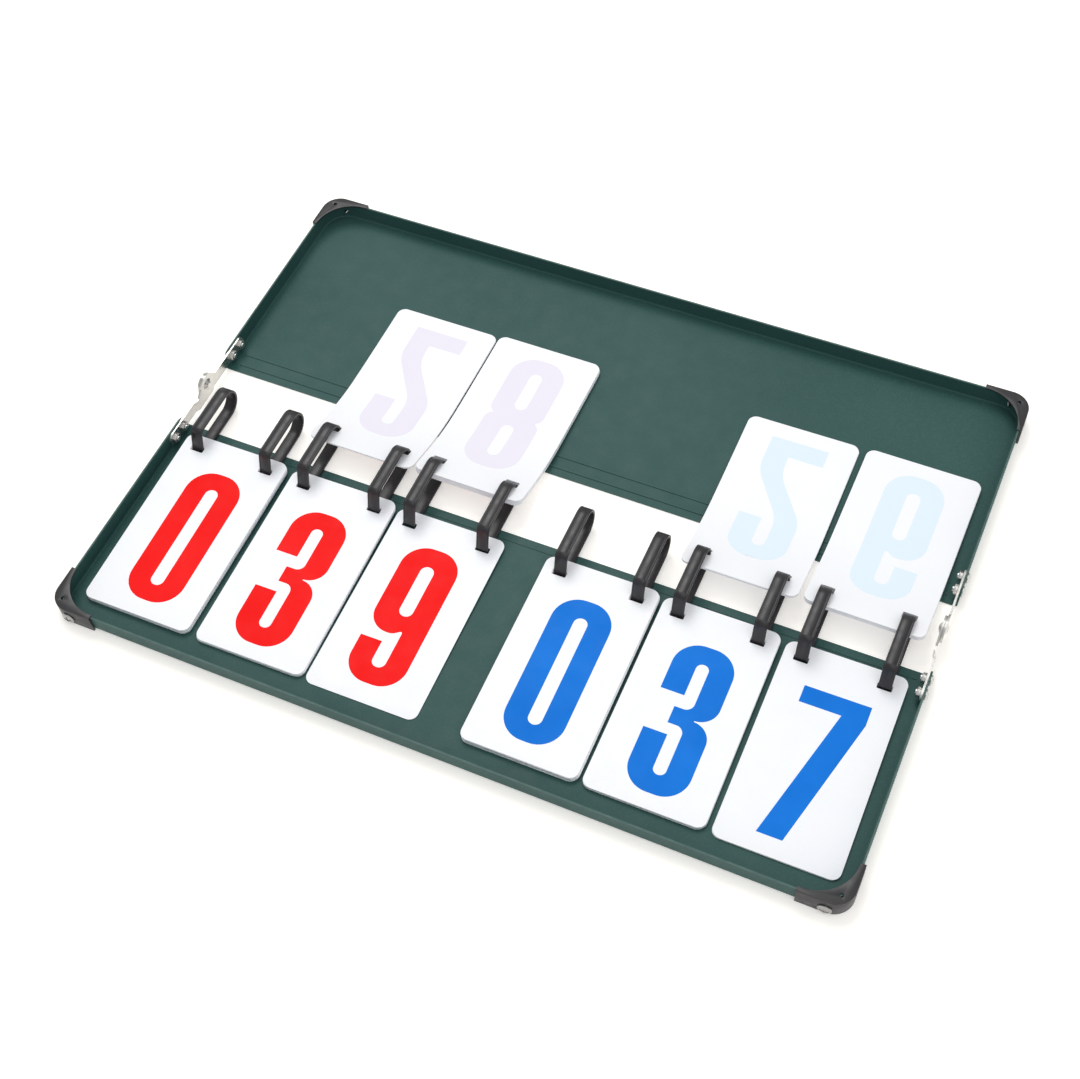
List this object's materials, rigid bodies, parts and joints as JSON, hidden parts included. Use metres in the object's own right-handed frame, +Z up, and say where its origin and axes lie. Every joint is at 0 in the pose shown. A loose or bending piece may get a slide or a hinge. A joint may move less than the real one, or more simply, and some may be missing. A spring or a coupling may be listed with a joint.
{
  "type": "flip scoreboard",
  "caption": "Folding table-top sports scoreboard: two hinged painted steel trays with numbered flip cards on moulded loops, laid open flat.",
  "frame": {"origin": "on the resting plane, half way along the board and under the hinge line", "axes": "+X along the board's length, left to right as the digits are read, +Y from the digits' lower edge towards the back tray, +Z up"},
  "size_m": [0.6048, 0.445, 0.0255],
  "materials": {
    "front_tray_paint": "semi-gloss dark green enamel on sheet steel",
    "back_tray_paint": "semi-gloss dark green enamel on sheet steel",
    "corner_plastic": "moulded black plastic, fine grain",
    "screw_plated": "plated pan-head screws",
    "strap_plated": "plated strap",
    "rivet_plated": "plated rivet",
    "bolt_plated": "plated bolts",
    "nut_plated": "plated nuts",
    "loop_rivet_steel": "flush rivets",
    "loop_plastic": "moulded black plastic strip",
    "card_pvc": "satin white PVC sheet",
    "turned_card_pvc": "satin white PVC sheet, backs uppermost"
  },
  "bodies": {
    "front_half": {"front_tray": "front_tray_paint", "corner_guard_front_left": "corner_plastic", "corner_guard_front_right": "corner_plastic", "corner_screws_front": "screw_plated", "hinge_strap_front_left": "strap_plated", "hinge_strap_front_right": "strap_plated", "pivot_rivet_left": "rivet_plated", "pivot_rivet_right": "rivet_plated", "hinge_bolts_front": "bolt_plated", "hinge_nuts_front": "nut_plated", "loop_rivets": "loop_rivet_steel", "card_loop_01": "loop_plastic", "card_loop_02": "loop_plastic", "card_loop_03": "loop_plastic", "card_loop_04": "loop_plastic", "card_loop_05": "loop_plastic", "card_loop_06": "loop_plastic", "card_loop_07": "loop_plastic", "card_loop_08": "loop_plastic", "card_loop_09": "loop_plastic", "card_loop_10": "loop_plastic", "card_loop_11": "loop_plastic", "card_loop_12": "loop_plastic"},
    "back_half": {"back_tray": "back_tray_paint", "corner_guard_back_left": "corner_plastic", "corner_guard_back_right": "corner_plastic", "corner_screws_back": "screw_plated", "hinge_strap_back_left": "strap_plated", "hinge_strap_back_right": "strap_plated", "hinge_bolts_back": "bolt_plated", "hinge_nuts_back": "nut_plated"},
    "cards_1": {"front_cards_1": "card_pvc"},
    "cards_2": {"front_cards_2": "card_pvc"},
    "cards_3": {"front_cards_3": "card_pvc"},
    "cards_4": {"front_cards_4": "card_pvc"},
    "cards_5": {"front_cards_5": "card_pvc"},
    "cards_6": {"front_cards_6": "card_pvc"},
    "turned_2": {"turned_cards_2": "turned_card_pvc"},
    "turned_3": {"turned_cards_3": "turned_card_pvc"},
    "turned_5": {"turned_cards_5": "turned_card_pvc"},
    "turned_6": {"turned_cards_6": "turned_card_pvc"}
  },
  "joints": [
    {"name": "lid_fold", "type": "hinge", "parent": "front_half", "child": "back_half", "pos_m": [0, 0, 0.0165], "axis": [1, 0, 0], "range_deg": [-105, 180]},
    {"name": "cards_1_turn", "type": "hinge", "parent": "front_half", "child": "cards_1", "pos_m": [-0.2445, -0.026, 0.0135], "axis": [1, 0, 0], "range_deg": [-180, 0], "deforming": ["front_cards_1"]},
    {"name": "cards_2_turn", "type": "hinge", "parent": "front_half", "child": "cards_2", "pos_m": [-0.1514, -0.026, 0.0135], "axis": [1, 0, 0], "range_deg": [-180, 0], "deforming": ["front_cards_2"]},
    {"name": "cards_3_turn", "type": "hinge", "parent": "front_half", "child": "cards_3", "pos_m": [-0.0616, -0.026, 0.0135], "axis": [1, 0, 0], "range_deg": [-180, 0], "deforming": ["front_cards_3"]},
    {"name": "cards_4_turn", "type": "hinge", "parent": "front_half", "child": "cards_4", "pos_m": [0.0607, -0.026, 0.0135], "axis": [1, 0, 0], "range_deg": [-180, 0], "deforming": ["front_cards_4"]},
    {"name": "cards_5_turn", "type": "hinge", "parent": "front_half", "child": "cards_5", "pos_m": [0.1516, -0.026, 0.0135], "axis": [1, 0, 0], "range_deg": [-180, 0], "deforming": ["front_cards_5"]},
    {"name": "cards_6_turn", "type": "hinge", "parent": "front_half", "child": "cards_6", "pos_m": [0.2438, -0.026, 0.0135], "axis": [1, 0, 0], "range_deg": [-180, 0], "deforming": ["front_cards_6"]},
    {"name": "turned_2_turn", "type": "hinge", "parent": "back_half", "child": "turned_2", "pos_m": [-0.1509, -0.025, 0.0143], "axis": [-1, 0, 0], "range_deg": [-180, 0], "deforming": ["turned_cards_2"]},
    {"name": "turned_3_turn", "type": "hinge", "parent": "back_half", "child": "turned_3", "pos_m": [-0.0611, -0.025, 0.0143], "axis": [-1, 0, 0], "range_deg": [-180, 0], "deforming": ["turned_cards_3"]},
    {"name": "turned_5_turn", "type": "hinge", "parent": "back_half", "child": "turned_5", "pos_m": [0.1521, -0.025, 0.0143], "axis": [-1, 0, 0], "range_deg": [-180, 0], "deforming": ["turned_cards_5"]},
    {"name": "turned_6_turn", "type": "hinge", "parent": "back_half", "child": "turned_6", "pos_m": [0.2443, -0.025, 0.0143], "axis": [-1, 0, 0], "range_deg": [-180, 0], "deforming": ["turned_cards_6"]}
  ]
}
